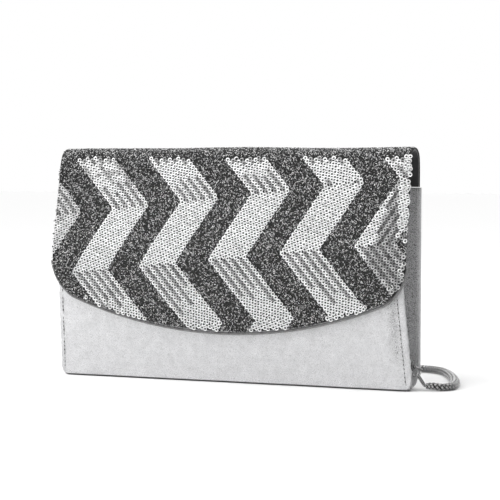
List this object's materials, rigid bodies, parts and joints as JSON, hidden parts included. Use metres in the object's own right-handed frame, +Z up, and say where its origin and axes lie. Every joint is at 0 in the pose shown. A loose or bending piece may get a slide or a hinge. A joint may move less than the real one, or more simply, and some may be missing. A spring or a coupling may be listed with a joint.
{
  "type": "evening bag",
  "caption": "Flap-over evening clutch with sequin zigzag flap, metallic pouch with pleated sides and a braided chain strap.",
  "frame": {"origin": "centre of the bag's footprint box at the level that it stands on, without the strap", "axes": "+X along the width to the bag's right end as seen from the front, -Y out of the front, +Z up"},
  "size_m": [0.2796, 0.1122, 0.1533],
  "materials": {
    "metallic_leatherette": "silver coated leatherette with a fine crackle grain",
    "lining_cloth": "dark satin lining",
    "stiffening_board": "plain grey-brown board",
    "ground_cloth": "dark pewter ground cloth",
    "piping_cord": "corded grey piping",
    "silver_sequins": "mirror-silver cup sequins",
    "pewter_beads": "glossy gunmetal seed beads",
    "snap_steel": "polished plated steel",
    "strap_steel": "antique silver plate, darker in the hollows"
  },
  "bodies": {
    "pouch": {"back_panel": "metallic_leatherette", "bottom_panel": "metallic_leatherette", "back_board": "stiffening_board", "base_board": "stiffening_board", "back_lining": "lining_cloth", "bottom_lining": "lining_cloth", "slip_pocket": "lining_cloth", "right_gusset_rear": "metallic_leatherette", "left_gusset_rear": "metallic_leatherette", "right_ring_tab": "metallic_leatherette", "left_ring_tab": "metallic_leatherette", "right_jump_ring": "strap_steel", "left_jump_ring": "strap_steel", "right_upper_cap": "strap_steel", "left_upper_cap": "strap_steel", "right_anchor_chain": "strap_steel", "left_anchor_chain": "strap_steel", "right_lower_cap": "strap_steel", "left_lower_cap": "strap_steel", "right_mouth_ring": "strap_steel", "left_mouth_ring": "strap_steel", "right_oval_link": "strap_steel", "left_oval_link": "strap_steel", "right_strap_cap": "strap_steel", "left_strap_cap": "strap_steel", "chain_right_run": "strap_steel", "chain_coil": "strap_steel", "chain_left_run": "strap_steel"},
    "front_panel": {"front_panel": "metallic_leatherette", "front_board": "stiffening_board", "front_lining": "lining_cloth", "front_top_binding": "metallic_leatherette", "right_gusset_front": "metallic_leatherette", "left_gusset_front": "metallic_leatherette", "snap_socket": "snap_steel", "snap_socket_washer": "snap_steel"},
    "flap_spine": {"spine_ground": "ground_cloth", "spine_lining": "lining_cloth", "spine_sequin_bands": "silver_sequins", "spine_bead_bands": "pewter_beads"},
    "flap": {"flap_ground": "ground_cloth", "flap_board": "stiffening_board", "flap_lining": "lining_cloth", "flap_edge_piping": "piping_cord", "flap_bead_bands": "pewter_beads", "snap_stud": "snap_steel", "snap_stud_washer": "snap_steel", "flap_sequin_band_1": "silver_sequins", "flap_sequin_band_2": "silver_sequins", "flap_sequin_band_3": "silver_sequins", "flap_sequin_band_4": "silver_sequins", "flap_sequin_band_5": "silver_sequins", "flap_sequin_band_6": "silver_sequins"},
    "right_d_ring": {"right_d_ring": "strap_steel"},
    "left_d_ring": {"left_d_ring": "strap_steel"}
  },
  "joints": [
    {"name": "flap_lift", "type": "hinge", "parent": "pouch", "child": "flap_spine", "pos_m": [0, 0.0187, 0.1275], "axis": [-1, 0, 0], "range_deg": [0, 110]},
    {"name": "flap_unfold", "type": "hinge", "parent": "flap_spine", "child": "flap", "pos_m": [0, -0.0069, 0.14], "axis": [-1, 0, 0], "range_deg": [0, 77]},
    {"name": "front_lean", "type": "hinge", "parent": "pouch", "child": "front_panel", "pos_m": [0, -0.003, 0], "axis": [1, 0, 0], "range_deg": [0, 8]},
    {"name": "right_ring_swing", "type": "hinge", "parent": "pouch", "child": "right_d_ring", "pos_m": [0.10749, 0.00454, 0.112], "axis": [0.9174, 0.3981, 0], "range_deg": [-4, 4]},
    {"name": "left_ring_swing", "type": "hinge", "parent": "pouch", "child": "left_d_ring", "pos_m": [-0.10749, 0.00454, 0.112], "axis": [-0.9174, 0.3981, 0], "range_deg": [-4, 4]}
  ],
  "couplings": [
    {"joint": "flap_unfold", "follows": "flap_lift", "ratio": 0.7},
    {"joint": "front_lean", "follows": "flap_lift", "ratio": 0.0727}
  ]
}
